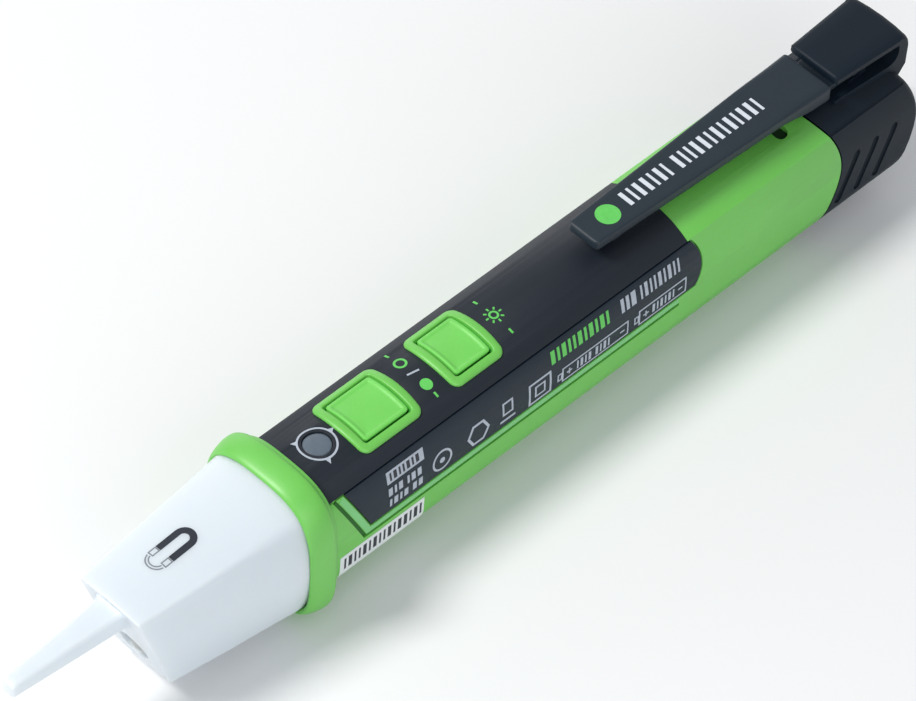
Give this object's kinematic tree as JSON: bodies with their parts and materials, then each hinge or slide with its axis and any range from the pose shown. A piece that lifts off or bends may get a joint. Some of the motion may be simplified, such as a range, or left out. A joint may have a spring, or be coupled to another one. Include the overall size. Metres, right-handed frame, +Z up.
{
  "type": "non contact voltage tester",
  "caption": "Pen-shaped non contact voltage tester with flat probe tip, two push buttons, status window, battery cap and pocket clip.",
  "frame": {"origin": "middle of the whole length, on the plane that the collar rests on", "axes": "+X from the probe tip towards the battery cap, +Z up through the buttons and the clip"},
  "size_m": [0.1744, 0.023, 0.0286],
  "materials": {
    "tip_white": "translucent, satin",
    "copper_wire": "bare",
    "clear_lens": "clear, polished",
    "red_lens": "clear red",
    "green_lens": "clear green",
    "green_shell": "fine satin",
    "black_shell": "fine matt",
    "green_button": "satin",
    "grey_window": "smoked, satin",
    "board_green": "solder mask",
    "switch_black": "matt",
    "capacitor_tan": "fired",
    "nickel_sheet": "nickel plated",
    "cell_jacket": "plain printed sleeve",
    "cap_black": "fine matt",
    "clip_black": "satin"
  },
  "bodies": {
    "housing": {"tip_housing": "tip_white", "probe_antenna": "copper_wire", "torch_led": "clear_lens", "warning_led_red": "red_lens", "ready_led_green": "green_lens", "magnetic_sensor_coil": "copper_wire", "collar_ring": "green_shell", "lower_shell": "green_shell", "upper_shell": "black_shell", "left_side_panel": "black_shell", "right_side_panel": "black_shell", "on_off_bezel": "green_shell", "light_bezel": "green_shell", "status_window": "grey_window", "status_led": "clear_lens", "circuit_board": "board_green", "on_off_switch": "switch_black", "light_switch": "switch_black", "control_chip": "switch_black", "amplifier_chip": "switch_black", "board_capacitors": "capacitor_tan", "buzzer": "switch_black", "front_battery_contact": "nickel_sheet", "contact_strip": "nickel_sheet", "front_battery": "cell_jacket", "rear_battery": "cell_jacket"},
    "on_off_button": {"on_off_button": "green_button"},
    "light_button": {"light_button": "green_button"},
    "cap": {"end_cap": "cap_black", "cap_contact_plate": "nickel_sheet", "cap_contact_spring": "nickel_sheet"},
    "clip": {"pocket_clip": "clip_black"}
  },
  "joints": [
    {"name": "on_off_press", "type": "slide", "parent": "housing", "child": "on_off_button", "axis": [0, 0, -1], "range_m": [0, 0.0005], "stiffness_N_per_m": 1500},
    {"name": "light_press", "type": "slide", "parent": "housing", "child": "light_button", "axis": [0, 0, -1], "range_m": [0, 0.0005], "stiffness_N_per_m": 1500},
    {"name": "cap_pull", "type": "slide", "parent": "housing", "child": "cap", "axis": [1, 0, 0], "range_m": [0, 0.06]},
    {"name": "clip_lift", "type": "hinge", "parent": "cap", "child": "clip", "pos_m": [0.07765, 0, 0.02515], "axis": [0, 1, 0], "range_deg": [0, 4], "stiffness_Nm_per_rad": 2}
  ]
}
